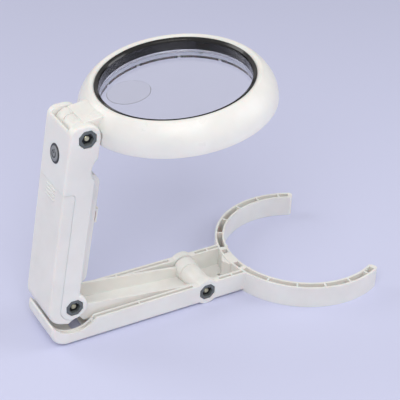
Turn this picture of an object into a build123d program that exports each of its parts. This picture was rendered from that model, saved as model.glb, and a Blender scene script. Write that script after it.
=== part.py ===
from build123d import *
from math import cos, radians, sin
import os

# Folding low vision magnifier: an open ring foot with a channel behind it, a hollow link, a battery
# handle used as the arm, and a round lens head, joined by three friction hinges.
# Origin: on the underside of the ring, at the middle of its closed side. +X points out of the ring's
# open side, +Z up, Y is the axis direction of every hinge. Units are millimetres.

# ---- driving dimensions ------------------------------------------------------------------------
ring_outer_r = 70.0
ring_wall = 7.5
ring_height = 18.0
ring_open_half = 62.5  # half angle of the ring's gap, degrees
skin = 1.6  # moulded wall thickness
tray_half = 22.0
tray_wall = 5.5  # double side wall of the tray, skins and hollow together
tray_floor_z = 2.8
tray_under_z = 1.2
tray_end_x = -164.0
tray_end_top = 19.6

base_hinge_x = -34.0
base_hinge_z = 10.6
link_length = 112.5
link_rise = 10.5  # degrees above level at rest
arm_lean = 7.9  # degrees off vertical at rest
arm_reach = 136.2  # elbow to head hinge, along the arm
arm_offset = 7.2  # head hinge stands this far outboard of the elbow
arm_half = 20.0
ear_inner = 14.3  # half gap between the arm's ears
ear_r = 10.3
arm_outer_v = 20.3  # outer face, from the elbow axis
arm_inner_v = -3.1
head_tilt = 8.3
head_reach = 78.8
head_top = 11.0  # top of the lens bezel above the head hinge
head_outer_r = 71.4
lens_view_r = 55.0
lens_r = 56.6
cover_top_s = 94.5
cover_seam_v = 11.0

bolt_r = 2.0
bore_r = 2.06
bezel_r = 7.0  # across the corners of the octagon
bezel_deep = 4.0
fold_rise = 5.7  # the link's angle when the magnifier is folded flat, degrees

# ---- places derived from them ------------------------------------------------------------------
ring_x = ring_outer_r - ring_wall / 2
ring_inner_r = ring_outer_r - ring_wall
elbow_x = base_hinge_x - link_length * cos(radians(link_rise))
elbow_z = base_hinge_z + link_length * sin(radians(link_rise))
lean_s, lean_c = sin(radians(arm_lean)), cos(radians(arm_lean))
tilt_s, tilt_c = sin(radians(head_tilt)), cos(radians(head_tilt))
head_x = elbow_x + arm_reach * lean_s - arm_offset * lean_c
head_z = elbow_z + arm_reach * lean_c + arm_offset * lean_s
scoop_r = (arm_outer_v + 0.6)

# side planes: the sketch normal is -Y, so x is X and y is Z
side = Plane(origin=(0, 0, 0), x_dir=(1, 0, 0), z_dir=(0, -1, 0))
# link plane: x runs from the base hinge to the elbow, y is the link's upper side
link_plane = Plane(
    origin=(base_hinge_x, 0, base_hinge_z),
    x_dir=(-cos(radians(link_rise)), 0, sin(radians(link_rise))),
    z_dir=(0, 1, 0),
)
# arm plane: x runs up the arm from the elbow, y points outboard, away from the ring
arm_plane = Plane(origin=(elbow_x, 0, elbow_z), x_dir=(lean_s, 0, lean_c), z_dir=(0, -1, 0))
# head plane: x runs out along the head from its hinge, y is Y, z is the lens axis
head_plane = Plane(origin=(head_x, 0, head_z), x_dir=(tilt_c, 0, tilt_s), z_dir=(-tilt_s, 0, tilt_c))
# the base hinge seen from the arm when it lies folded over the link
fold_s = link_length * cos(radians(fold_rise))
fold_v = -link_length * sin(radians(fold_rise))

os.makedirs("parts", exist_ok=True)


def save(part, name):
    """Label a finished piece and write it to its own STEP file."""
    part.label = name
    export_step(part, f"parts/{name}.step")


def across(origin, y, turn=-1):
    """A plane across Y at height y over a hinge centre, its x along world X."""
    return Plane(origin=(origin[0], y, origin[1]), x_dir=(1, 0, 0), z_dir=(0, turn, 0))


base_hinge = (base_hinge_x, base_hinge_z)
elbow = (elbow_x, elbow_z)
head_hinge = (head_x, head_z)

# ---- base frame: tray and open ring in one moulding --------------------------------------------
tray_right_x = ring_x - ring_inner_r * cos(radians(18))
rib = 1.4
boss_r = 10.4
hollow_lo = tray_half - skin
hollow_hi = tray_half - tray_wall + skin
inner_half = tray_half - tray_wall

with BuildPart() as base_frame:
    # tray side profile: rounded heel at the left, slightly raised end lip
    with BuildSketch(side):
        with BuildLine():
            l1 = Line((tray_right_x, tray_under_z), (tray_end_x + 13, tray_under_z))
            l2 = JernArc(l1 @ 1, (-1, 0), 13, -80)
            l3 = Line(l2 @ 1, (tray_end_x + 0.6, tray_end_top - 1.5))
            l4 = ThreePointArc(
                l3 @ 1, (tray_end_x + 1.4, tray_end_top - 0.3), (tray_end_x + 3, tray_end_top)
            )
            l5 = Line(l4 @ 1, (tray_end_x + 6, ring_height))
            l6 = Line(l5 @ 1, (tray_right_x, ring_height))
            Line(l6 @ 1, l1 @ 0)
        make_face()
    extrude(amount=tray_half, both=True)
    bottom_edges = base_frame.edges().filter_by(Axis.X).group_by(Axis.Z)[0]
    fillet(bottom_edges, 2.4)
    # pocket between the two side walls
    with BuildSketch(side):
        with BuildLine():
            p1 = Line((tray_right_x + 1, tray_floor_z), (tray_end_x + 15, tray_floor_z))
            p2 = JernArc(p1 @ 1, (-1, 0), 10.4, -80)
            p3 = Line(p2 @ 1, (tray_end_x + 4.4, 30))
            p4 = Line(p3 @ 1, (tray_right_x + 1, 30))
            Line(p4 @ 1, p1 @ 0)
        make_face()
    extrude(amount=inner_half, both=True, mode=Mode.SUBTRACT)
    # the hollows inside the side walls, one cell between each pair of cross ribs
    cells = [(-157.0, -131.4), (-130.0, -92.6), (-91.2, -46.0), (-22.5, -12.0), (-10.6, 1.0)]
    for lo, hi in cells:
        for sign in (1, -1):
            with BuildSketch(Plane.XY.offset(tray_floor_z + (6.5 if lo < -150 else 0))):
                with Locations(((lo + hi) / 2, sign * (hollow_lo + hollow_hi) / 2)):
                    Rectangle(hi - lo, hollow_lo - hollow_hi)
            extrude(amount=30, mode=Mode.SUBTRACT)
    # hinge bosses in the side walls, and the bulge of the floor under the link's barrel
    for sign in (1, -1):
        with BuildSketch(across(base_hinge, sign * inner_half, sign)):
            Circle(boss_r)
        extrude(amount=tray_wall)
    with BuildSketch(side):
        with Locations(base_hinge):
            Circle(boss_r)
        with Locations((base_hinge_x, base_hinge_z + boss_r / 2 + tray_floor_z - base_hinge_z + 4)):
            Rectangle(4 * boss_r, boss_r + 8, mode=Mode.SUBTRACT)
    extrude(amount=inner_half, both=True)
    with BuildSketch(side):
        with Locations(base_hinge):
            Circle(boss_r - 1.1)
    extrude(amount=inner_half, both=True, mode=Mode.SUBTRACT)
    # the ring, added over the end of the tray
    with BuildSketch():
        with Locations((ring_x, 0)):
            Circle(ring_outer_r)
            Circle(ring_inner_r, mode=Mode.SUBTRACT)
        with BuildLine():
            far = 4 * ring_outer_r
            w1 = Line((ring_x, 0), (ring_x + far * cos(radians(ring_open_half)),
                                    far * sin(radians(ring_open_half))))
            w2 = Line(w1 @ 1, (ring_x + far * cos(radians(ring_open_half)),
                               -far * sin(radians(ring_open_half))))
            Line(w2 @ 1, w1 @ 0)
        make_face(mode=Mode.SUBTRACT)
    extrude(amount=ring_height)
    # chamfered inner and outer corners at the ring's two tips
    tips = base_frame.edges().filter_by(Axis.Z).filter_by(
        lambda e: e.center().X > ring_x + 20
    )
    chamfer(tips, 1.8)
    # hollow cells of the ring
    ring_ribs = (-65.0, -73, -89, -107, -126, -146, -166, 166, 147, 129, 109, 90, 73, 65.0)
    turns = sorted(a % 360 for a in ring_ribs)
    spans = [(lo, hi) for lo, hi in zip(turns, turns[1:]) if lo != 166]
    gap = 1.2
    for lo, hi in spans + [(168.0, 173.8), (184.6, 192.0)]:
        with BuildSketch(Plane.XY.offset(skin)):
            with BuildLine():
                a0, a1 = radians(lo + gap / 2), radians(hi - gap / 2)
                am = (a0 + a1) / 2
                r0, r1 = ring_inner_r + skin, ring_outer_r - skin
                q1 = ThreePointArc(*[(ring_x + r0 * cos(a), r0 * sin(a)) for a in (a0, am, a1)])
                q2 = Line(q1 @ 1, (ring_x + r1 * cos(a1), r1 * sin(a1)))
                q3 = ThreePointArc(*[(ring_x + r1 * cos(a), r1 * sin(a)) for a in (a1, am, a0)])
                Line(q3 @ 1, q1 @ 0)
            make_face()
        extrude(amount=ring_height, mode=Mode.SUBTRACT)
    # hexagonal latch block in the closed side of the ring, proud of the wall on both sides
    with BuildSketch():
        with Locations((-0.6, 0.8)):
            RegularPolygon(7.4, 6)
        with Locations((ring_x, 0)):
            Circle(ring_inner_r - 0.9, mode=Mode.SUBTRACT)
    extrude(amount=ring_height - 0.8)
    # scoop that the elbow turns in
    with BuildSketch(side):
        with Locations(elbow):
            Circle(scoop_r)
    extrude(amount=tray_half, both=True, mode=Mode.SUBTRACT)
    # opening in the floor below the elbow and a small moulding hole in the pocket
    with BuildSketch():
        with Locations((elbow_x + 7.0, 0)):
            RectangleRounded(9.4, 18, 1)
        with Locations((-8.3, 3.5)):
            Circle(1.4)
    extrude(amount=8, mode=Mode.SUBTRACT)
    # hinge bores and octagonal recesses for the bezels
    with BuildSketch(side):
        with Locations(base_hinge):
            Circle(bore_r)
    extrude(amount=tray_half, both=True, mode=Mode.SUBTRACT)
    for sign in (1, -1):
        with BuildSketch(across(base_hinge, sign * tray_half, -sign)):
            RegularPolygon(bezel_r + 0.05, 8, rotation=22.5)
        extrude(amount=bezel_deep, mode=Mode.SUBTRACT)
save(base_frame.part, "base_frame")

# rubber foot pads under the heel of the tray
with BuildPart() as foot_pads:
    with BuildSketch():
        with Locations((tray_end_x + 38, 14.5), (tray_end_x + 38, -14.5)):
            Circle(4.5)
    extrude(amount=tray_under_z)
save(foot_pads.part, "foot_pads")


# ---- hinge hardware, the same at all three hinges ----------------------------------------------
def bezel_pair(hinge, half):
    """Two octagonal bezels with a hexagonal opening, flush in the outer faces of the hinge."""
    with BuildPart() as pair:
        for sign in (1, -1):
            face = across(hinge, sign * (half + 0.1), -sign)
            with BuildSketch(face):
                RegularPolygon(bezel_r - 0.05, 8, rotation=22.5)
                RegularPolygon(4.05, 6, major_radius=False, mode=Mode.SUBTRACT)
            extrude(amount=bezel_deep + 0.05)
            rim = pair.faces().filter_by(Axis.Y).sort_by(Axis.Y)[-1 if sign > 0 else 0]
            chamfer(rim.outer_wire().edges(), 0.6)
    return pair.part


def hinge_bolt(hinge, half):
    """Pan head bolt: the head in the far bezel, the plain end in the near one."""
    seat = half - bezel_deep
    with BuildPart() as bolt:
        with BuildSketch(across(hinge, seat + 2.4, -1).offset(0)):
            Circle(3.7)
        extrude(amount=2.4, dir=(0, -1, 0))
        fillet(bolt.edges().sort_by(Axis.Y)[-1], 0.9)
        with BuildSketch(across(hinge, seat + 0.1, -1)):
            Circle(bolt_r)
        extrude(amount=2 * seat + 2.3, dir=(0, -1, 0))
        chamfer(bolt.edges().sort_by(Axis.Y)[0], 0.35)
        with BuildSketch(across(hinge, seat + 2.4, -1)):
            Rectangle(4.2, 0.8)
            Rectangle(0.8, 4.2)
        extrude(amount=1.3, dir=(0, -1, 0), mode=Mode.SUBTRACT)
    return bolt.part


def hinge_nut(hinge, half):
    """Hexagon nut sunk in the near bezel."""
    with BuildPart() as nut:
        with BuildSketch(across(hinge, -(half - bezel_deep), -1)):
            RegularPolygon(3.5, 6, major_radius=False)
            Circle(bolt_r, mode=Mode.SUBTRACT)
        extrude(amount=1.7, dir=(0, -1, 0))
    return nut.part


def hinge_washers(hinge, lo, hi):
    """Two friction washers between the hinge's ears and its barrel."""
    with BuildPart() as washers:
        for sign in (1, -1):
            with BuildSketch(across(hinge, sign * lo, -sign)):
                Circle(6.0)
                Circle(bore_r, mode=Mode.SUBTRACT)
            extrude(amount=hi - lo, dir=(0, sign, 0))
    return washers.part


barrel_half = inner_half - 0.7
save(bezel_pair(base_hinge, tray_half), "base_hinge_bezels")
save(hinge_bolt(base_hinge, tray_half), "base_hinge_bolt")
save(hinge_nut(base_hinge, tray_half), "base_hinge_nut")
save(hinge_washers(base_hinge, barrel_half + 0.1, inner_half - 0.1), "base_hinge_washers")
save(bezel_pair(elbow, arm_half), "elbow_bezels")
save(hinge_bolt(elbow, arm_half), "elbow_bolt")
save(hinge_nut(elbow, arm_half), "elbow_nut")
save(hinge_washers(elbow, ear_inner - 0.6, ear_inner - 0.1), "elbow_washers")
save(bezel_pair(head_hinge, arm_half), "head_hinge_bezels")
save(hinge_bolt(head_hinge, arm_half), "head_hinge_bolt")
save(hinge_nut(head_hinge, arm_half), "head_hinge_nut")
save(hinge_washers(head_hinge, ear_inner - 0.6, ear_inner - 0.1), "head_hinge_washers")

# ---- link: a trough with a barrel at each end --------------------------------------------------
trough_in = 12.0
trough_out = 14.0
base_barrel_r = 9.0
elbow_barrel_r = 8.8


def trough_top(t):
    return 3.0 - 0.051 * t


def trough_floor(t):
    return -5.5 - 0.1 * t


with BuildPart() as link:
    with BuildSketch(link_plane):
        with BuildLine():
            Polyline(
                (2, trough_top(2)), (2, trough_floor(2) - 2.0), (98, trough_floor(98) - 2.0),
                (103, trough_floor(98) + 2.0), (105, trough_top(105) - 8), (105, trough_top(105)),
                close=True,
            )
        make_face()
    extrude(amount=trough_out, both=True)
    fillet(link.edges().filter_by(Axis.Y).sort_by(Axis.X)[0:2], 2.0)
    long_low = link.edges().filter_by(lambda e: e.length > 90 and e.center().Z < 14)
    fillet(long_low, 2.5)
    with BuildSketch(link_plane):
        with BuildLine():
            Polyline(
                (-4, 20), (-4, trough_floor(-4)), (97, trough_floor(97)),
                (104.4, trough_floor(97) + 4.0), (112, trough_floor(97) + 8.0), (112, 20), close=True,
            )
        make_face()
    extrude(amount=trough_in, both=True, mode=Mode.SUBTRACT)
    # a low step across the floor half way along
    with BuildSketch(link_plane):
        with BuildLine():
            Polyline((52, trough_floor(52) - 0.1), (52, trough_floor(52) + 0.5),
                     (96, trough_floor(96) + 0.5), (96, trough_floor(96) - 0.1), close=True)
        make_face()
    extrude(amount=trough_in, both=True)
    # barrel at the base hinge: a thinner length between two thicker ends
    with BuildSketch(side):
        with Locations(base_hinge):
            Circle(base_barrel_r - 0.7)
    extrude(amount=barrel_half, both=True)
    for y_lo, y_hi in ((6.0, barrel_half), (-barrel_half, -12.4)):
        with BuildSketch(across(base_hinge, y_lo, 1)):
            Circle(base_barrel_r + 0.1)
        extrude(amount=y_hi - y_lo)
    # barrel at the elbow, joined to the trough's end
    with BuildSketch(side):
        with Locations(elbow):
            Circle(elbow_barrel_r)
    extrude(amount=ear_inner - 0.7, both=True)
    for hinge in (base_hinge, elbow):
        with BuildSketch(side):
            with Locations(hinge):
                Circle(bore_r)
        extrude(amount=tray_half, both=True, mode=Mode.SUBTRACT)
save(link.part, "link")


# ---- arm: battery handle -----------------------------------------------------------------------
def arm_face(v):
    """A plane parallel to the arm's broad faces, v outboard of the elbow: x up the arm, y is Y."""
    origin = (elbow_x - v * lean_c, 0, elbow_z + v * lean_s)
    return Plane(origin=origin, x_dir=(lean_s, 0, lean_c), z_dir=(-lean_c, 0, lean_s))


notch_r = 11.7
heel_r = 13.3
crown_r = 7.1
wall = 2.2
case_half = arm_half - wall
case_lo_s = 12.0
case_hi_s = 122.0
slot_s = 124.5
plate_top_s = arm_reach + 4.5
button_s = 117.5
partition_v = 4.5
bay_lo_s = 38.0
bay_hi_s = 90.0
screw_spots = [(24, 14.4), (24, -14.4), (96, 14.4), (96, -14.4)]

with BuildSketch(arm_plane) as crown:
    with BuildLine():
        CenterArc((arm_reach, arm_offset), ear_r, 0, 360)
        CenterArc((arm_reach + 2.3, arm_outer_v - crown_r), crown_r, 0, 360)
    make_hull()
with BuildSketch(arm_plane) as arm_outline:
    add(crown.sketch_local)
    Circle(ear_r)
    with Locations((0, arm_outer_v - heel_r)):
        Circle(heel_r)
    # lip at the foot of the battery cover
    with BuildLine():
        Polyline((-13.28, 6.3), (-14.1, 3.4), (-13.2, 2.2), (-10.2, -1.2), (-6, 0), (-6, 8), close=True)
    make_face()
    with BuildLine():
        Polyline((0, arm_inner_v), (arm_reach, arm_inner_v), (arm_reach + 2.3, arm_outer_v),
                 (0, arm_outer_v), close=True)
    make_face()
    with Locations((fold_s, fold_v)):
        Circle(notch_r, mode=Mode.SUBTRACT)

# the zone of the handle that the battery cover takes, outboard of its seam
with BuildSketch(arm_plane) as cover_zone:
    with BuildLine():
        z1 = Polyline((-30, -6), (-11.8, -1.2))
        z2 = Line(z1 @ 1, (-9.0, 5.2))
        z3 = ThreePointArc(z2 @ 1, (-5.6, 9.3), (0, cover_seam_v))
        z4 = Line(z3 @ 1, (cover_top_s - 3, cover_seam_v))
        z5 = JernArc(z4 @ 1, (1, 0), 3, 90)
        z6 = Line(z5 @ 1, (cover_top_s, 40))
        z7 = Line(z6 @ 1, (-30, 40))
        Line(z7 @ 1, z1 @ 0)
    make_face()

edge_round = 1.7
with BuildPart() as handle_body:
    extrude(arm_outline.sketch, amount=arm_half, both=True)
    rim_edges = handle_body.edges().filter_by(
        lambda e: abs(abs(e.center().Y) - arm_half) < 0.01
    )
    fillet(rim_edges, edge_round)

with BuildPart() as arm_housing:
    add(handle_body.part)
    extrude(cover_zone.sketch, amount=arm_half + 1, both=True, mode=Mode.SUBTRACT)
    # inside of the case, open towards the ring side
    with BuildSketch(arm_plane):
        with BuildLine():
            Polyline((case_lo_s, -12), (case_hi_s, -12), (case_hi_s, arm_outer_v - wall),
                     (case_lo_s, arm_outer_v - wall), close=True)
        make_face()
    extrude(amount=case_half, both=True, mode=Mode.SUBTRACT)
    # gap between the lower ears, and between the upper ears below the top plate
    with BuildSketch(arm_plane):
        with BuildLine():
            Polyline((-30, -30), (case_lo_s, -30), (case_lo_s, 30), (-30, 30), close=True)
        make_face()
        with BuildLine():
            Polyline((slot_s, -30), (160, -30), (160, arm_outer_v - wall),
                     (slot_s, arm_outer_v - wall), close=True)
        make_face()
        with BuildLine():
            Polyline((plate_top_s, 0), (160, 0), (160, 30), (plate_top_s, 30), close=True)
        make_face()
    extrude(amount=ear_inner, both=True, mode=Mode.SUBTRACT)
    # battery bay: partition and two end walls
    with BuildSketch(arm_plane):
        for s_lo, s_hi, v_hi in (
            (case_lo_s, case_hi_s - 8, partition_v + 1.5),
            (bay_lo_s - 1.5, bay_lo_s, 17.6),
            (bay_hi_s, bay_hi_s + 1.5, 17.6),
        ):
            with BuildLine():
                Polyline((s_lo, partition_v), (s_hi, partition_v), (s_hi, v_hi), (s_lo, v_hi),
                         close=True)
            make_face()
    extrude(amount=case_half, both=True)
    # screw bosses for the inner cover
    with BuildSketch(arm_face(-0.3)):
        with Locations(*screw_spots):
            Circle(2.9)
    extrude(amount=partition_v + 0.4)
    with BuildSketch(arm_face(-0.3)):
        with Locations(*screw_spots):
            Circle(1.1)
    extrude(amount=partition_v + 1.0, mode=Mode.SUBTRACT)
    # opening for the push button
    with BuildSketch(arm_face(10)):
        with Locations((button_s, 0)):
            Circle(7.2)
    extrude(amount=20, mode=Mode.SUBTRACT)
    for hinge in (elbow, head_hinge):
        with BuildSketch(side):
            with Locations(hinge):
                Circle(bore_r)
        extrude(amount=tray_half, both=True, mode=Mode.SUBTRACT)
        for sign in (1, -1):
            with BuildSketch(across(hinge, sign * (arm_half + 1), -sign)):
                RegularPolygon(bezel_r + 0.05, 8, rotation=22.5)
            extrude(amount=bezel_deep + 1, mode=Mode.SUBTRACT)
save(arm_housing.part, "arm_housing")

# cover on the ring side of the handle, with the keel that nests in the link when folded
keel_half = 11.0
keel_v = -11.0
with BuildPart() as inner_cover:
    with BuildSketch(arm_plane):
        with BuildLine():
            Polyline((case_lo_s + 0.2, -2.2), (case_hi_s - 0.2, -2.2), (case_hi_s - 0.2, -0.4),
                     (case_lo_s + 0.2, -0.4), close=True)
        make_face()
        with Locations((fold_s, fold_v)):
            Circle(notch_r + 1.8)
        with BuildLine():
            Polyline((80, -2.2), (140, -2.2), (140, -40), (80, -40), close=True)
        make_face(mode=Mode.SUBTRACT)
        with BuildLine():
            Polyline((case_hi_s - 0.2, -10), (140, -10), (140, 10), (case_hi_s - 0.2, 10),
                     close=True)
        make_face(mode=Mode.SUBTRACT)
        with Locations((fold_s, fold_v)):
            Circle(notch_r, mode=Mode.SUBTRACT)
    extrude(amount=case_half - 0.25, both=True)
    with BuildSketch(arm_plane):
        with BuildLine():
            k1 = Line((104.3, -1.0), (104.3, -3.0))
            k2 = JernArc(k1 @ 1, (0, -1), 8, -90)
            k3 = Line(k2 @ 1, (21.5, keel_v))
            k4 = JernArc(k3 @ 1, (-1, 0), 7, -90)
            k5 = Line(k4 @ 1, (14.5, -1.0))
            Line(k5 @ 1, k1 @ 0)
        make_face()
    extrude(amount=keel_half, both=True)
    with BuildSketch(arm_plane):
        with BuildLine():
            m1 = Line((102.5, 5.0), (102.5, -3.0))
            m2 = JernArc(m1 @ 1, (0, -1), 6.2, -90)
            m3 = Line(m2 @ 1, (21.5, keel_v + 1.8))
            m4 = JernArc(m3 @ 1, (-1, 0), 5.2, -90)
            m5 = Line(m4 @ 1, (16.3, 5.0))
            Line(m5 @ 1, m1 @ 0)
        make_face()
    extrude(amount=keel_half - 1.8, both=True, mode=Mode.SUBTRACT)
    # slotted catch on the keel
    with BuildSketch(arm_plane):
        with BuildLine():
            Polyline((62.5, keel_v + 0.5), (63.2, -14.4), (75.0, -14.4), (73.0, keel_v + 0.5),
                     close=True)
        make_face()
        with BuildLine():
            Polyline((64.6, -12.4), (64.6, -13.1), (72.4, -13.1), (72.4, -12.4), close=True)
        make_face(mode=Mode.SUBTRACT)
    extrude(amount=8.5, both=True)
    with BuildSketch(arm_face(-2.2)):
        with Locations(*screw_spots):
            Circle(2.5)
    extrude(amount=1.0, mode=Mode.SUBTRACT)
    with BuildSketch(arm_face(-3)):
        with Locations(*screw_spots):
            Circle(1.4)
    extrude(amount=4, mode=Mode.SUBTRACT)
save(inner_cover.part, "arm_inner_cover")

with BuildPart() as cover_screws:
    with BuildSketch(arm_face(-2.2)):
        with Locations(*screw_spots):
            Circle(2.35)
    extrude(amount=0.95)
    with BuildSketch(arm_face(-1.3)):
        with Locations(*screw_spots):
            Circle(1.05)
    extrude(amount=5.4)
    with BuildSketch(arm_face(-2.2)):
        with Locations(*screw_spots):
            Rectangle(2.6, 0.6)
            Rectangle(0.6, 2.6)
    extrude(amount=0.7, mode=Mode.SUBTRACT)
save(cover_screws.part, "arm_cover_screws")

# battery cover: wraps the lower end and the outer third of the handle's sides
cover_gap = 0.15
cover_shift = Location((cover_gap * (-lean_s - lean_c), 0, cover_gap * (lean_s - lean_c)))
with BuildPart() as battery_cover:
    add(handle_body.part)
    extrude(cover_zone.sketch.moved(cover_shift), amount=arm_half + 1, both=True,
            mode=Mode.INTERSECT)
    with BuildSketch(arm_plane):
        with BuildLine():
            CenterArc((0, arm_outer_v - heel_r), heel_r - 2.0, 0, 360)
        make_face()
        with BuildLine():
            Polyline((0, 0), (cover_top_s + 1, 0), (cover_top_s + 1, arm_outer_v - 2.0),
                     (0, arm_outer_v - 2.0), close=True)
        make_face()
    extrude(amount=arm_half - 1.9, both=True, mode=Mode.SUBTRACT)
    # thumb grip: a row of low ribs
    with BuildSketch(arm_face(arm_outer_v - 0.1)):
        with Locations(*[(92.0 - 2.7 * i, 0) for i in range(4)]):
            RectangleRounded(1.2, 14.0, 0.55)
    extrude(amount=0.6)
save(battery_cover.part, "battery_cover")

# three cells side by side, their springs and contact plates
cell_spots = (-11.2, 0.0, 11.2)
cell_v = 11.9
cell_lo_s = 42.0
cell_long = 43.6


def arm_section(s, v=0.0):
    """A plane across the arm at height s: its normal runs up the arm."""
    origin = (elbow_x + s * lean_s - v * lean_c, 0, elbow_z + s * lean_c + v * lean_s)
    return Plane(origin=origin, x_dir=(0, 1, 0), z_dir=(lean_s, 0, lean_c))


with BuildPart() as battery_cells:
    for i, y in enumerate(cell_spots):
        flip = i % 2
        with BuildSketch(arm_section(cell_lo_s + flip * 0.9, cell_v)):
            with Locations((y, 0)):
                Circle(5.2)
        extrude(amount=cell_long)
        with BuildSketch(arm_section(cell_lo_s + (0 if flip else cell_long - 0.1), cell_v)):
            with Locations((y, 0)):
                Circle(1.9)
        extrude(amount=1.0)
save(battery_cells.part, "battery_cells")

with BuildPart() as contact_plates:
    for s in (bay_lo_s + 0.05, bay_hi_s - 0.55):
        with BuildSketch(arm_section(s, cell_v)):
            with Locations((-5.6, 0), (11.2, 0)) if s < 60 else Locations((5.6, 0), (-11.2, 0)):
                Rectangle(9.0, 9.0)
        extrude(amount=0.5)
save(contact_plates.part, "contact_plates")

with BuildPart() as contact_springs:
    for i, y in enumerate(cell_spots):
        low = bay_lo_s + 0.75 if i % 2 == 0 else cell_lo_s + cell_long + 1.2
        high = cell_lo_s - 0.3 if i % 2 == 0 else bay_hi_s - 0.8
        base = arm_section(low, cell_v)
        start = base.from_local_coords(Vector(y, 0, 0))
        with BuildLine() as coil:
            Helix(pitch=(high - low) / 2.5, height=high - low, radius=2.6, center=start,
                  direction=base.z_dir)
        with BuildSketch(Plane(coil.line @ 0, z_dir=coil.line % 0)):
            Circle(0.25)
        sweep(path=coil.line)
save(contact_springs.part, "contact_springs")

# push button, its surround, the switch and its board
with BuildPart() as button_ring:
    with BuildSketch(arm_face(arm_outer_v - wall)):
        with Locations((button_s, 0)):
            Circle(7.15)
            Circle(5.6, mode=Mode.SUBTRACT)
    extrude(amount=wall + 0.35)
    chamfer(button_ring.edges().filter_by(GeomType.CIRCLE).sort_by(Axis.X)[0:1], 0.3)
save(button_ring.part, "button_ring")

with BuildPart() as power_button:
    with BuildSketch(arm_face(17.1)):
        with Locations((button_s, 0)):
            Circle(6.3)
    extrude(amount=0.8)
    with BuildSketch(arm_face(17.1)):
        with Locations((button_s, 0)):
            Circle(5.5)
    extrude(amount=4.0)
    fillet(power_button.edges().filter_by(GeomType.CIRCLE).sort_by(Axis.X)[0:1], 0.5)
save(power_button.part, "power_button")

with BuildPart() as switch_board:
    with BuildSketch(arm_face(9.6)):
        with Locations((112.5, 0)):
            RectangleRounded(17.5, 26, 1.0)
    extrude(amount=1.5)
save(switch_board.part, "switch_board")

with BuildPart() as switch:
    with BuildSketch(arm_face(11.1)):
        with Locations((button_s - 1.0, 0)):
            RectangleRounded(8.4, 8.4, 0.5)
    extrude(amount=3.6)
    with BuildSketch(arm_face(14.7)):
        with Locations((button_s, 0)):
            Circle(1.6)
    extrude(amount=1.2)
save(switch.part, "push_switch")

# ---- head: lens, bezel, lamp ring and housing --------------------------------------------------
lens_x = head_x + head_reach * tilt_c
lens_z = head_z + head_reach * tilt_s
# section through the lens axis: x is the radius, y is the height along the axis
head_section = Plane(origin=(lens_x, 0, lens_z), x_dir=(tilt_c, 0, tilt_s), z_dir=(0, -1, 0))
lens_axis = Axis((lens_x, 0, lens_z), (-tilt_s, 0, tilt_c))
rim_out = head_outer_r
skirt_low = -9.85
seat_r = 57.2


def head_level(n):
    """A plane across the lens axis, n above the head hinge, centred on the lens."""
    origin = (lens_x - n * tilt_s, 0, lens_z + n * tilt_c)
    return Plane(origin=origin, x_dir=(tilt_c, 0, tilt_s), z_dir=(-tilt_s, 0, tilt_c))


with BuildSketch(head_section) as shell_section:
    with BuildLine():
        h1 = Line((seat_r, head_top - 0.4), (seat_r + 0.9, head_top + 0.5))
        h2 = ThreePointArc(h1 @ 1, (60.0, head_top + 0.9), (62.0, head_top - 0.2))
        h3 = Spline(h2 @ 1, (67.0, 5.4), (70.2, -1.0), (rim_out, -7.6),
                    tangents=[(1, -0.75), (0.12, -1)])
        h4 = Line(h3 @ 1, (rim_out, skirt_low))
        h5 = Line(h4 @ 1, (rim_out - 1.8, skirt_low))
        h6 = Line(h5 @ 1, (rim_out - 1.9, -7.4))
        h7 = Spline(h6 @ 1, (68.3, -1.2), (65.3, 4.2), (59.6, 9.3))
        h8 = Line(h7 @ 1, (59.4, -4.0))
        h9 = Line(h8 @ 1, (seat_r, -4.0))
        Line(h9 @ 1, h1 @ 0)
    make_face()
with BuildSketch(head_section) as core_section:
    with BuildLine():
        c2 = Line((0, skirt_low - 1), (rim_out - 0.9, skirt_low - 1))
        c3 = Line(c2 @ 1, (rim_out - 0.9, -7.5))
        c4 = Spline(c3 @ 1, (69.2, -1.1), (66.1, 4.8), (61.0, 10.2))
        c5 = Line(c4 @ 1, (61.0, 20))
        c6 = Line(c5 @ 1, (0, 20))
        Line(c6 @ 1, c2 @ 0)
    make_face()

neck_half = ear_inner - 0.7
with BuildPart() as head_housing:
    # barrel in three lengths, the middle one thinner, then the neck's flat-topped box
    with BuildSketch(side):
        with Locations(head_hinge):
            Circle(9.1)
    extrude(amount=neck_half, both=True)
    with BuildSketch(side):
        with Locations(head_hinge):
            Circle(20)
            Circle(8.3, mode=Mode.SUBTRACT)
    extrude(amount=4.6, both=True, mode=Mode.SUBTRACT)
    with BuildSketch(Plane(origin=(head_x, 0, head_z), x_dir=(tilt_c, 0, tilt_s),
                           z_dir=(0, -1, 0))):
        with BuildLine():
            Polyline((1.5, -8.2), (16, -8.4), (22, 9.6), (1.5, 9.6), close=True)
        make_face()
    extrude(amount=neck_half, both=True)
    side_edges = head_housing.edges().filter_by(
        lambda e: abs(abs(e.center().Y) - neck_half) < 0.01 and e.length > 12
        and e.center().Z > head_z + 5
    )
    fillet(side_edges, 0.7)
    revolve(core_section.sketch, axis=lens_axis, mode=Mode.SUBTRACT)
    revolve(shell_section.sketch, axis=lens_axis)
    # screw bosses for the lamp cover
    screw_turns = [45 + 90 * i for i in range(4)]
    with BuildSketch(head_level(-6.9)):
        with PolarLocations(64.4, 4, start_angle=45):
            Circle(2.6)
    extrude(amount=12.0)
    with BuildSketch(head_level(-7.2)):
        with PolarLocations(64.4, 4, start_angle=45):
            Circle(1.05)
    extrude(amount=8, mode=Mode.SUBTRACT)
    # relief round the arm's upper ears, then the hinge bore
    for sign in (1, -1):
        with BuildSketch(across(head_hinge, sign * (ear_inner - 0.35), sign)):
            Circle(ear_r + 1.0)
        extrude(amount=8, mode=Mode.SUBTRACT)
    with BuildSketch(side):
        with Locations(head_hinge):
            Circle(bore_r)
    extrude(amount=tray_half, both=True, mode=Mode.SUBTRACT)
save(head_housing.part, "head_housing")

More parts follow.
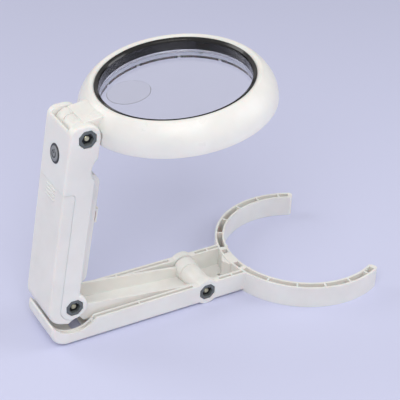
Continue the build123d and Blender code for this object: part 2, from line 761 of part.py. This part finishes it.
with BuildPart() as lens_bezel:
    with BuildSketch(head_section):
        with BuildLine():
            Polyline(
                (57.05, 2.0), (57.05, head_top), (56.3, head_top + 0.4), (54.6, head_top - 0.9),
                (54.0, head_top - 2.2), (lens_view_r - 0.6, 2.0), close=True,
            )
        make_face()
    revolve(axis=lens_axis)
save(lens_bezel.part, "lens_bezel")

lens_rise = 5.2
lens_edge_hi = 1.2
lens_edge_lo = -1.8
segment_x = -28.3
segment_y = 18.6
segment_r = 15.8


def dome_mid(radius, rise):
    """How far a dome's surface lies below its apex halfway out to its edge."""
    curve = (radius**2 + rise**2) / (2 * rise)
    return curve - (curve**2 - (radius / 2) ** 2) ** 0.5


with BuildPart() as main_lens:
    with BuildSketch(head_section):
        with BuildLine():
            under = lens_rise * 0.6
            g1 = Line((0, lens_edge_hi + lens_rise), (0, lens_edge_lo - under))
            g2 = ThreePointArc(
                g1 @ 1,
                (lens_r / 2, lens_edge_lo - under + dome_mid(lens_r, under)),
                (lens_r, lens_edge_lo),
            )
            g3 = Line(g2 @ 1, (lens_r, lens_edge_hi))
            ThreePointArc(
                g3 @ 1,
                (lens_r / 2, lens_edge_hi + lens_rise - dome_mid(lens_r, lens_rise)),
                g1 @ 0,
            )
        make_face()
    revolve(axis=lens_axis)
    with BuildSketch(head_level(-20)):
        with Locations((segment_x, segment_y)):
            Circle(segment_r)
    extrude(amount=40, mode=Mode.SUBTRACT)
save(main_lens.part, "main_lens")

# strong reading segment let into the main lens
segment_origin = head_level(0).from_local_coords(Vector(segment_x, segment_y, 0))
segment_section = Plane(origin=segment_origin, x_dir=(tilt_c, 0, tilt_s), z_dir=(0, -1, 0))
segment_axis = Axis(segment_origin, (-tilt_s, 0, tilt_c))
segment_edge = segment_r - 0.05
segment_rise = 2.6
with BuildPart() as reading_segment:
    with BuildSketch(segment_section):
        with BuildLine():
            i1 = Line((0, 7.6), (0, -4.0))
            i2 = Line(i1 @ 1, (segment_edge, -4.0))
            i3 = Line(i2 @ 1, (segment_edge, 7.6 - segment_rise))
            ThreePointArc(
                i3 @ 1, (segment_edge / 2, 7.6 - dome_mid(segment_edge, segment_rise)), i1 @ 0
            )
        make_face()
    revolve(axis=segment_axis)
save(reading_segment.part, "reading_segment")

led_count = 12
with BuildPart() as led_board:
    with BuildSketch(head_level(-4.6)):
        Circle(68.3)
        Circle(60.0, mode=Mode.SUBTRACT)
        with PolarLocations(64.4, 4, start_angle=45):
            Circle(2.8, mode=Mode.SUBTRACT)
    extrude(amount=1.2)
save(led_board.part, "led_board")

with BuildPart() as leds:
    with BuildSketch(head_level(-4.65)):
        with PolarLocations(64.2, led_count, start_angle=0):
            Circle(2.2)
    extrude(amount=-2.6)
    fillet(leds.faces().sort_by(lens_axis)[0:led_count].edges(), 1.2)
save(leds.part, "led_lamps")

with BuildPart() as lamp_cover:
    with BuildSketch(head_level(-8.9)):
        Circle(rim_out - 2.1)
        Circle(55.2, mode=Mode.SUBTRACT)
        with PolarLocations(64.2, led_count, start_angle=0):
            Circle(2.7, mode=Mode.SUBTRACT)
        with PolarLocations(64.4, 4, start_angle=45):
            Circle(1.4, mode=Mode.SUBTRACT)
    extrude(amount=1.7)
    with BuildSketch(head_level(-8.9)):
        Circle(56.9)
        Circle(55.2, mode=Mode.SUBTRACT)
    extrude(amount=6.5)
save(lamp_cover.part, "lamp_cover")

with BuildPart() as head_screws:
    with BuildSketch(head_level(-10.1)):
        with PolarLocations(64.4, 4, start_angle=45):
            Circle(2.3)
    extrude(amount=1.15)
    with BuildSketch(head_level(-9.0)):
        with PolarLocations(64.4, 4, start_angle=45):
            Circle(1.0)
    extrude(amount=8)
save(head_screws.part, "head_screws")
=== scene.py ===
"""Folding stand magnifier for low vision work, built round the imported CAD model."""
import bpy
import bmesh
import math
from mathutils import Matrix, Vector


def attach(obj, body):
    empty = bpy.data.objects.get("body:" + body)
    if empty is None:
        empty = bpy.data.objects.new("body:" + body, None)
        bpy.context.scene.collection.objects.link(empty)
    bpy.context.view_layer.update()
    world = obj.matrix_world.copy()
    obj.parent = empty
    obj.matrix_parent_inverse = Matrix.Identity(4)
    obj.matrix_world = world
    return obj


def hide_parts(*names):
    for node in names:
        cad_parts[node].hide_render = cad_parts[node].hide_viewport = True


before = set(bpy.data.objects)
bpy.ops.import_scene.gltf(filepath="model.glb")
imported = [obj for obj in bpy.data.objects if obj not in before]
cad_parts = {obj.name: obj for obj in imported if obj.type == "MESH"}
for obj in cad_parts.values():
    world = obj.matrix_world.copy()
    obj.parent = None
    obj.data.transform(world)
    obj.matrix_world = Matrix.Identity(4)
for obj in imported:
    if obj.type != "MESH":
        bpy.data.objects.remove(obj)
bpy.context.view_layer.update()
MM = 0.001

# ---- the table it stands on, the light and the camera ------------------------------------------
# A plain pale sweep of card with soft studio light from above and from the left, and a long lens
# that looks down at the magnifier from its handle side.


def new_material(name):
    """An empty node material with its Principled shader and its links."""
    mat = bpy.data.materials.new(name)
    mat.use_nodes = True
    tree = mat.node_tree
    return mat, tree, tree.nodes["Principled BSDF"]


floor_size = 4.0
bm = bmesh.new()
bmesh.ops.create_grid(bm, x_segments=2, y_segments=2, size=floor_size)
floor_mesh = bpy.data.meshes.new("table_card")
bm.to_mesh(floor_mesh)
bm.free()
floor = bpy.data.objects.new("table_card", floor_mesh)
bpy.context.scene.collection.objects.link(floor)
mat, tree, shader = new_material("pale_card")
card_lavender, card_roughness = (0.60, 0.62, 0.82, 1.0), 0.7
shader.inputs["Base Color"].default_value = card_lavender
shader.inputs["Roughness"].default_value = card_roughness
floor.data.materials.append(mat)

world = bpy.data.worlds.new("studio")
bpy.context.scene.world = world
world.use_nodes = True
room_tone, room_strength = (0.98, 0.97, 0.96, 1.0), 0.5
room = world.node_tree.nodes["Background"]
room.inputs["Color"].default_value = room_tone
room.inputs["Strength"].default_value = room_strength
bpy.context.scene.view_settings.view_transform = "Standard"


def soft_box(name, place, aim, size, power, colour):
    """A square area light at a place, aimed at a point."""
    light = bpy.data.lights.new(name, "AREA")
    light.shape = "SQUARE"
    light.size = size
    light.energy = power
    light.color = colour
    lamp = bpy.data.objects.new(name, light)
    lamp.location = place
    lamp.rotation_euler = (Vector(aim) - Vector(place)).to_track_quat("-Z", "Y").to_euler()
    bpy.context.scene.collection.objects.link(lamp)


soft_box("key_box", (-0.55, -0.75, 1.15), (-0.03, 0.0, 0.08), 0.9, 10.5, (1.0, 0.98, 0.95))
soft_box("side_box", (1.0, -0.5, 0.8), (0.0, 0.0, 0.05), 0.8, 5.0, (0.97, 0.98, 1.0))
soft_box("back_box", (-1.0, 1.0, 0.9), (0.0, 0.0, 0.1), 0.8, 5.0, (1.0, 1.0, 1.0))

turn, rise, roll = math.radians(-31.26), math.radians(31.87), math.radians(2.82)
camera_distance = 896.8 * MM
focal_length, sensor_width = 107.15, 36.0
level = Vector((math.sin(turn), -math.cos(turn), 0.0))
back = level * math.cos(rise) + Vector((0.0, 0.0, math.sin(rise)))
right = Vector((math.cos(turn), math.sin(turn), 0.0))
up = back.cross(right)
cam_right = math.cos(roll) * right + math.sin(roll) * up
cam_up = -math.sin(roll) * right + math.cos(roll) * up
aim = Vector((-31.49, 0.0, 80.93)) * MM
camera = bpy.data.cameras.new("camera")
camera.lens = focal_length
camera.sensor_width = sensor_width
camera_object = bpy.data.objects.new("camera", camera)
spin = Matrix((cam_right, cam_up, back)).transposed().to_4x4()
camera_object.matrix_world = Matrix.Translation(aim + back * camera_distance) @ spin
bpy.context.scene.collection.objects.link(camera_object)
bpy.context.scene.camera = camera_object

# ---- base frame: tray and open ring ------------------------------------------------------------
# One white injection moulding in ABS with hollow ribbed walls. Its faces are satin with a very fine
# spark-eroded grain, light passes a little way into its thin walls, and its edges carry a slight
# painted highlight.


def moulded_surface():
    """Group: faint flow mottle, fine grain, a painted highlight on the edges and settled dust on a
    moulding.
    """
    group = bpy.data.node_groups.new("moulded_surface", "ShaderNodeTree")
    face = group.interface
    for name, value in (("Grain Scale", 2600.0), ("Mottle Scale", 55.0), ("Dust Scale", 140.0)):
        face.new_socket(name, in_out="INPUT", socket_type="NodeSocketFloat").default_value = value
    face.new_socket("Soft Normal", in_out="INPUT", socket_type="NodeSocketVector")
    for name in ("Mottle", "Grain", "Edge", "Dust"):
        face.new_socket(name, in_out="OUTPUT", socket_type="NodeSocketFloat")
    node, link = group.nodes.new, group.links.new
    into, out = node("NodeGroupInput"), node("NodeGroupOutput")
    where = node("ShaderNodeTexCoord")

    def noise(scale, detail):
        cloud = node("ShaderNodeTexNoise")
        cloud.inputs["Detail"].default_value = detail
        link(where.outputs["Object"], cloud.inputs["Vector"])
        link(into.outputs[scale], cloud.inputs["Scale"])
        return cloud.outputs["Fac"]

    def product(first, second):
        times = node("ShaderNodeMath")
        times.operation = "MULTIPLY"
        times.use_clamp = True
        link(first, times.inputs[0])
        link(second, times.inputs[1])
        return times.outputs["Value"]

    mottle = noise("Mottle Scale", 4.0)
    link(mottle, out.inputs["Mottle"])
    link(noise("Grain Scale", 2.0), out.inputs["Grain"])
    # the edge, where a painted highlight goes, is where the rounded normal leaves the flat one
    plain = node("ShaderNodeNewGeometry")
    align = node("ShaderNodeVectorMath")
    align.operation = "DOT_PRODUCT"
    link(into.outputs["Soft Normal"], align.inputs[0])
    link(plain.outputs["True Normal"], align.inputs[1])
    edge = node("ShaderNodeMapRange")
    still_flat, well_round = 0.99, 0.75
    edge.inputs["From Min"].default_value = still_flat
    edge.inputs["From Max"].default_value = well_round
    link(align.outputs["Value"], edge.inputs["Value"])
    link(product(edge.outputs["Result"], mottle), out.inputs["Edge"])
    # dust lies on what faces up, in soft patches
    facing = node("ShaderNodeSeparateXYZ")
    link(plain.outputs["Normal"], facing.inputs["Vector"])
    lying = node("ShaderNodeMapRange")
    thin_dust, full_dust = 0.5, 0.75
    lying.inputs["From Min"].default_value = thin_dust
    lying.inputs["From Max"].default_value = full_dust
    link(noise("Dust Scale", 6.0), lying.inputs["Value"])
    link(product(lying.outputs["Result"], facing.outputs["Z"]), out.inputs["Dust"])
    return group


surface = moulded_surface()
mottle_span = (0.3, 0.7)


def value_map(tree, mask, first, second, low=0.0, high=1.0):
    """A value that runs from first to second as the mask runs from low to high."""
    span = tree.nodes.new("ShaderNodeMapRange")
    span.inputs["From Min"].default_value = low
    span.inputs["From Max"].default_value = high
    span.inputs["To Min"].default_value = first
    span.inputs["To Max"].default_value = second
    tree.links.new(mask, span.inputs["Value"])
    return span.outputs["Result"]


def colour_mix(tree, mask, first, second, low=0.0, high=1.0):
    """A colour that runs from first to second as the mask runs from low to high."""
    ramp = tree.nodes.new("ShaderNodeValToRGB")
    ramp.color_ramp.elements[0].position = low
    ramp.color_ramp.elements[0].color = (*first, 1.0)
    ramp.color_ramp.elements[1].position = high
    ramp.color_ramp.elements[1].color = (*second, 1.0)
    tree.links.new(mask, ramp.inputs["Fac"])
    return ramp.outputs["Color"]


def toned(tree, mask, under, tone, most):
    """The colour underneath, turned towards a plain tone by a mask."""
    mix = tree.nodes.new("ShaderNodeMix")
    mix.data_type = "RGBA"
    tree.links.new(value_map(tree, mask, 0.0, most), mix.inputs[0])
    tree.links.new(under, mix.inputs[6])
    mix.inputs[7].default_value = (*tone, 1.0)
    return mix.outputs[2]


def moulded(name, pale, deep, rough, grain, edge_highlight_tone, dusty=0.1, edge=0.0005, lit_through=False):
    """Moulded plastic or rubber: mottled colour, grain, a painted highlight on the edges and a
    little dust.
    """
    mat, tree, shader = new_material(name)
    round_over = tree.nodes.new("ShaderNodeBevel")
    round_over.samples = 6
    round_over.inputs["Radius"].default_value = edge
    marks = tree.nodes.new("ShaderNodeGroup")
    marks.node_tree = surface
    tree.links.new(round_over.outputs["Normal"], marks.inputs["Soft Normal"])
    edge_highlight_most, dust_tone, gloss_spread = 0.7, (0.50, 0.48, 0.45), 0.06
    body = colour_mix(tree, marks.outputs["Mottle"], deep, pale, *mottle_span)
    # rounded edges are turned towards a lighter tone: a painted highlight
    body = toned(tree, marks.outputs["Edge"], body, edge_highlight_tone, edge_highlight_most)
    body = toned(tree, marks.outputs["Dust"], body, dust_tone, dusty)
    tree.links.new(body, shader.inputs["Base Color"])
    gloss = value_map(
        tree, marks.outputs["Mottle"], rough + gloss_spread, rough - gloss_spread, *mottle_span
    )
    tree.links.new(gloss, shader.inputs["Roughness"])
    bump = tree.nodes.new("ShaderNodeBump")
    bump.inputs["Strength"].default_value = 0.35
    bump.inputs["Distance"].default_value = grain
    tree.links.new(marks.outputs["Grain"], bump.inputs["Height"])
    tree.links.new(round_over.outputs["Normal"], bump.inputs["Normal"])
    tree.links.new(bump.outputs["Normal"], shader.inputs["Normal"])
    if lit_through:
        shader.inputs["Subsurface Weight"].default_value = 0.3
        shader.inputs["Subsurface Radius"].default_value = (1.0, 0.5, 0.4)
        shader.inputs["Subsurface Scale"].default_value = 0.003
    return mat


def dress(name, mat):
    """Gives a carried-over part its material."""
    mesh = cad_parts[name].data
    mesh.materials.clear()
    mesh.materials.append(mat)


white_abs = moulded(
    "white_abs", (0.82, 0.81, 0.785), (0.77, 0.76, 0.735), 0.38, 0.00002, (0.87, 0.86, 0.84),
    lit_through=True,
)
dress("base_frame", white_abs)

# ---- rubber pads under the tray ----------------------------------------------------------------
# Soft black rubber discs glued under the tray, moulded matt and greyed by dust.
pad_rubber = moulded(
    "pad_rubber", (0.035, 0.035, 0.037), (0.02, 0.02, 0.022), 0.82, 0.00003,
    (0.07, 0.07, 0.07), 0.3,
)
dress("foot_pads", pad_rubber)

# ---- link between tray and handle --------------------------------------------------------------
# A trough-shaped arm from the same white ABS as the base, held by a through bolt at each end.
dress("link", white_abs)

# ---- hinges: octagonal bezels, nuts, bolts and washers -----------------------------------------
# At the base, the elbow and the head a through bolt clamps the mouldings. Grey octagonal plastic
# bezels are pressed in on both sides, and a blackened hex nut sits in the well of one of them, with
# the yellow-passivated end of the bolt showing in it. White nylon washers set the drag.
hinge_grey = moulded(
    "hinge_grey", (0.115, 0.132, 0.138), (0.09, 0.104, 0.11), 0.36, 0.00002, (0.30, 0.32, 0.33),
    0.15, 0.0006,
)


def metal_surface():
    """Group: fine turning marks, smudges and tarnish in patches on small metal parts."""
    group = bpy.data.node_groups.new("metal_surface", "ShaderNodeTree")
    face = group.interface
    for name, value in (("Mark Scale", 3000.0), ("Smudge Scale", 260.0)):
        face.new_socket(name, in_out="INPUT", socket_type="NodeSocketFloat").default_value = value
    for name in ("Marks", "Smudge"):
        face.new_socket(name, in_out="OUTPUT", socket_type="NodeSocketFloat")
    node, link = group.nodes.new, group.links.new
    into, out = node("NodeGroupInput"), node("NodeGroupOutput")
    where = node("ShaderNodeTexCoord")
    for scale, detail, result in (("Mark Scale", 1.0, "Marks"), ("Smudge Scale", 5.0, "Smudge")):
        cloud = node("ShaderNodeTexNoise")
        cloud.inputs["Detail"].default_value = detail
        link(where.outputs["Object"], cloud.inputs["Vector"])
        link(into.outputs[scale], cloud.inputs["Scale"])
        link(cloud.outputs["Fac"], out.inputs[result])
    return group


metal_marks = metal_surface()


def plated(name, bright, dull, rough, metal=1.0):
    """Plated or blackened metal: smudged colour and gloss with fine machining marks."""
    mat, tree, shader = new_material(name)
    marks = tree.nodes.new("ShaderNodeGroup")
    marks.node_tree = metal_marks
    colour = colour_mix(tree, marks.outputs["Smudge"], dull, bright, 0.3, 0.7)
    tree.links.new(colour, shader.inputs["Base Color"])
    shader.inputs["Metallic"].default_value = metal
    gloss = value_map(tree, marks.outputs["Smudge"], rough + 0.12, rough - 0.06, 0.3, 0.7)
    tree.links.new(gloss, shader.inputs["Roughness"])
    bump = tree.nodes.new("ShaderNodeBump")
    bump.inputs["Strength"].default_value = 0.4
    bump.inputs["Distance"].default_value = 0.00002
    tree.links.new(marks.outputs["Marks"], bump.inputs["Height"])
    tree.links.new(bump.outputs["Normal"], shader.inputs["Normal"])
    return mat


black_nut = plated("black_nut", (0.014, 0.014, 0.015), (0.008, 0.008, 0.008), 0.45, 0.3)
yellow_bolt = plated("yellow_bolt", (0.70, 0.68, 0.46), (0.46, 0.44, 0.28), 0.3)
washer_nylon = moulded(
    "washer_nylon", (0.74, 0.73, 0.68), (0.66, 0.65, 0.6), 0.45, 0.00001, (0.8, 0.8, 0.76)
)
for hinge in ("base_hinge", "elbow", "head_hinge"):
    dress(hinge + "_bezels", hinge_grey)
    dress(hinge + "_nut", black_nut)
    dress(hinge + "_bolt", yellow_bolt)
    dress(hinge + "_washers", washer_nylon)

# ---- handle: housing, inner cover and its screws -----------------------------------------------
# A hollow white ABS handle in two shells, screwed together from the lens side. It is gripped most,
# so it is a little glossier than the base.
grip_abs = moulded(
    "grip_abs", (0.82, 0.81, 0.785), (0.78, 0.77, 0.745), 0.33, 0.000015, (0.88, 0.87, 0.85),
    lit_through=True,
)
dress("arm_housing", grip_abs)
dress("arm_inner_cover", grip_abs)
screw_steel = plated("screw_steel", (0.62, 0.62, 0.63), (0.42, 0.42, 0.42), 0.32)
dress("arm_cover_screws", screw_steel)

# ---- battery cover -----------------------------------------------------------------------------
# A separate white ABS lid on the outside of the handle. It slides down a few millimetres and lifts
# off, pushed by the thumb on its moulded ribs, where grime has settled a little.
cover_abs = moulded(
    "cover_abs", (0.815, 0.80, 0.77), (0.77, 0.755, 0.725), 0.35, 0.000015, (0.87, 0.86, 0.83),
    0.18, lit_through=True,
)
dress("battery_cover", cover_abs)

# ---- battery cells, contacts and switch board --------------------------------------------------
# Inside the handle: three AAA cells in plain blue shrink sleeves, nickel-plated spring and plate
# contacts, and a small green circuit board with the sealed push switch on it.


def printed(name, first, second, rough, gloss, smudge_scale, low, high):
    """A printed or lacquered face: two tones in patches and a patchy gloss."""
    mat, tree, shader = new_material(name)
    marks = tree.nodes.new("ShaderNodeGroup")
    marks.node_tree = metal_marks
    marks.inputs["Smudge Scale"].default_value = smudge_scale
    tone = colour_mix(tree, marks.outputs["Smudge"], first, second, low, high)
    tree.links.new(tone, shader.inputs["Base Color"])
    sheen = value_map(tree, marks.outputs["Smudge"], rough, gloss)
    tree.links.new(sheen, shader.inputs["Roughness"])
    return mat


sleeve = printed(
    "cell_sleeve", (0.05, 0.09, 0.16), (0.08, 0.13, 0.21), 0.35, 0.2, 260.0, 0.3, 0.7
)
dress("battery_cells", sleeve)
nickel = plated("contact_nickel", (0.74, 0.71, 0.66), (0.58, 0.55, 0.5), 0.25)
dress("contact_plates", nickel)
dress("contact_springs", nickel)
circuit = printed(
    "circuit_green", (0.01, 0.10, 0.04), (0.03, 0.19, 0.08), 0.4, 0.25, 420.0, 0.46, 0.54
)
dress("switch_board", circuit)
switch_black = moulded(
    "switch_black", (0.03, 0.03, 0.032), (0.02, 0.02, 0.02), 0.5, 0.00001, (0.06, 0.06, 0.06)
)
dress("push_switch", switch_black)

# ---- power button, its ring and its mark -------------------------------------------------------
# A soft grey cap in a dark trim ring near the top of the handle. The generic on and off mark on the
# cap, a broken ring with a stroke, is printed in a dark ink that stands up a trifle.
button_grey = moulded(
    "button_grey", (0.25, 0.262, 0.27), (0.2, 0.21, 0.218), 0.42, 0.00002, (0.3, 0.3, 0.3),
    0.15, 0.0004,
)
dress("power_button", button_grey)
ring_dark = moulded(
    "ring_dark", (0.02, 0.021, 0.022), (0.013, 0.014, 0.015), 0.4, 0.00001, (0.2, 0.2, 0.2),
    0.1, 0.0003,
)
dress("button_ring", ring_dark)


def finished(name, draft, place, mat):
    """Applies a draft piece's stack and its place, and leaves it as a mesh at the origin."""
    graph = bpy.context.evaluated_depsgraph_get()
    mesh = bpy.data.meshes.new_from_object(draft.evaluated_get(graph))
    mesh.name = name
    mesh.transform(place)
    bpy.data.objects.remove(draft)
    piece = bpy.data.objects.new(name, mesh)
    bpy.context.scene.collection.objects.link(piece)
    mesh.materials.clear()
    mesh.materials.append(mat)
    return piece


handle_lean = math.radians(7.9)
handle_up = Vector((math.sin(handle_lean), 0.0, math.cos(handle_lean)))
handle_out = Vector((-math.cos(handle_lean), 0.0, math.sin(handle_lean)))
elbow = Vector((-144.62, 0.0, 31.10)) * MM
button_along = 117.5 * MM
cap_top = 21.1 * MM
mark_radius = 2.7 * MM
mark_gap = math.radians(38)
mark_width = 0.42 * MM
mark_curve = bpy.data.curves.new("power_mark", "CURVE")
mark_curve.dimensions = "3D"
mark_curve.bevel_depth = mark_width
mark_curve.bevel_resolution = 2
arc_steps = 28
ring_line = mark_curve.splines.new("POLY")
ring_line.points.add(arc_steps)
for step, point in enumerate(ring_line.points):
    angle = math.pi / 2 + mark_gap + (2 * math.pi - 2 * mark_gap) * step / arc_steps
    point.co = (mark_radius * math.cos(angle), mark_radius * math.sin(angle), 0.0, 1.0)
stroke_top, stroke_foot = 1.25 * mark_radius, 0.1 * mark_radius
stroke = mark_curve.splines.new("POLY")
stroke.points.add(1)
stroke.points[0].co = (0.0, stroke_top, 0.0, 1.0)
stroke.points[1].co = (0.0, stroke_foot, 0.0, 1.0)
mark_draft = bpy.data.objects.new("power_mark_draft", mark_curve)
bpy.context.scene.collection.objects.link(mark_draft)
mark_axes = Matrix((Vector((0.0, 1.0, 0.0)), handle_up, -handle_out)).transposed().to_4x4()
ink_sunk = 0.12 * MM
mark_place = elbow + handle_up * button_along + handle_out * (cap_top - ink_sunk)
mark_ink = moulded(
    "mark_ink", (0.012, 0.012, 0.013), (0.008, 0.008, 0.009), 0.55, 0.00001, (0.08, 0.08, 0.08)
)
power_mark = finished(
    "power_mark", mark_draft, Matrix.Translation(mark_place) @ mark_axes, mark_ink
)
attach(power_mark, "power_button")

# ---- head housing and its screws ---------------------------------------------------------------
# The lamp head: a white ABS ring with a short neck at the hinge, hollow round the edge for the
# light, closed from below by small self-tapping screws.
dress("head_housing", grip_abs)
dress("head_screws", screw_steel)

# ---- black bezel round the lens ----------------------------------------------------------------
# A glossy black ring, moulded in ABS and snapped into the head, that holds the lens down.
bezel_black = moulded(
    "bezel_black", (0.012, 0.012, 0.013), (0.008, 0.008, 0.009), 0.16, 0.000005,
    (0.05, 0.05, 0.052), 0.05, 0.0004,
)
dress("lens_bezel", bezel_black)

# ---- main lens ---------------------------------------------------------------------------------
# A clear acrylic magnifier disc, cast and polished, with a low crown on both faces and a flat rim
# that the bezel clamps. Fine wipe marks dull it a little.


def clear_moulding(name, tint, low, high, smudge_scale):
    """Clear acrylic with wipe smudges in its gloss."""
    mat, tree, shader = new_material(name)
    marks = tree.nodes.new("ShaderNodeGroup")
    marks.node_tree = metal_marks
    marks.inputs["Smudge Scale"].default_value = smudge_scale
    shader.inputs["Base Color"].default_value = (*tint, 1.0)
    wiped = value_map(tree, marks.outputs["Smudge"], low, high, 0.35, 0.75)
    tree.links.new(wiped, shader.inputs["Roughness"])
    shader.inputs["Transmission Weight"].default_value = 1.0
    shader.inputs["IOR"].default_value = 1.49
    return mat


def turned_disc(name, outline, place, mat, steps=128):
    """A lathe-turned piece from an outline listed top to bottom at +X, put in its place."""
    mesh = bpy.data.meshes.new(name)
    verts = [(r * MM, 0.0, n * MM) for r, n in outline]
    mesh.from_pydata(verts, [(k, k + 1) for k in range(len(verts) - 1)], [])
    draft = bpy.data.objects.new(name + "_draft", mesh)
    bpy.context.scene.collection.objects.link(draft)
    lathe = draft.modifiers.new("turned", "SCREW")
    lathe.steps = steps
    lathe.render_steps = steps
    lathe.use_merge_vertices = True
    lathe.merge_threshold = 0.00001
    lathe.use_smooth_shade = True
    piece = finished(name, draft, place, mat)
    piece.data.set_sharp_from_angle(angle=math.radians(25))
    return piece


lens_centre = Vector((-55.06, 0.0, 178.37)) * MM
lens_lean = -math.radians(8.3)
head_frame = Matrix.Translation(lens_centre) @ Matrix.Rotation(lens_lean, 4, "Y")
lens_radius = 56.6
lens_top_edge, lens_top_rise = 1.2, 1.6
lens_low_edge, lens_low_rise = -1.8, 0.6
crown_steps = 12
lens_outline = []
for step in range(crown_steps + 1):
    part = step / crown_steps
    lens_outline.append((lens_radius * part, lens_top_edge + lens_top_rise * (1 - part * part)))
for step in range(crown_steps, -1, -1):
    part = step / crown_steps
    lens_outline.append((lens_radius * part, lens_low_edge - lens_low_rise * (1 - part * part)))
lens_acrylic = clear_moulding("lens_acrylic", (0.985, 0.985, 0.985), 0.01, 0.05, 30.0)
main_lens = turned_disc("polished_lens", lens_outline, head_frame, lens_acrylic)
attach(main_lens, "head")
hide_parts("main_lens")

# ---- reading segment ---------------------------------------------------------------------------
# A small stronger lens cemented to the underside of the main one near the bezel, for fine print.
# Only its thin bevelled rim shows.
segment_place = Matrix.Translation((-28.3 * MM, 18.6 * MM, 0.0))
segment_radius, segment_chamfer = 15.8, 0.3
segment_top, segment_shoulder, segment_low = -2.6, -2.8, -3.0
segment_outline = (
    (0.0, segment_top), (segment_radius - 0.5, segment_top), (segment_radius, segment_top),
    (segment_radius, segment_shoulder), (segment_radius - segment_chamfer, segment_low),
    (0.0, segment_low),
)
segment_acrylic = clear_moulding("segment_acrylic", (0.98, 0.98, 0.985), 0.01, 0.06, 60.0)
segment = turned_disc(
    "cemented_segment", segment_outline, head_frame @ segment_place, segment_acrylic, 72
)
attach(segment, "head")
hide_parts("reading_segment")

# ---- lamp board, lamps and lamp cover ----------------------------------------------------------
# A ring-shaped board in the head carries small white lamps with a yellow phosphor, and a clear
# moulded cover closes the light slot.
dress("led_board", circuit)
lamp_white = printed(
    "lamp_white", (0.84, 0.83, 0.74), (0.84, 0.74, 0.32), 0.4, 0.25, 900.0, 0.45, 0.6
)
dress("led_lamps", lamp_white)
cover_acrylic = clear_moulding("cover_acrylic", (0.95, 0.96, 0.965), 0.08, 0.2, 300.0)
dress("lamp_cover", cover_acrylic)
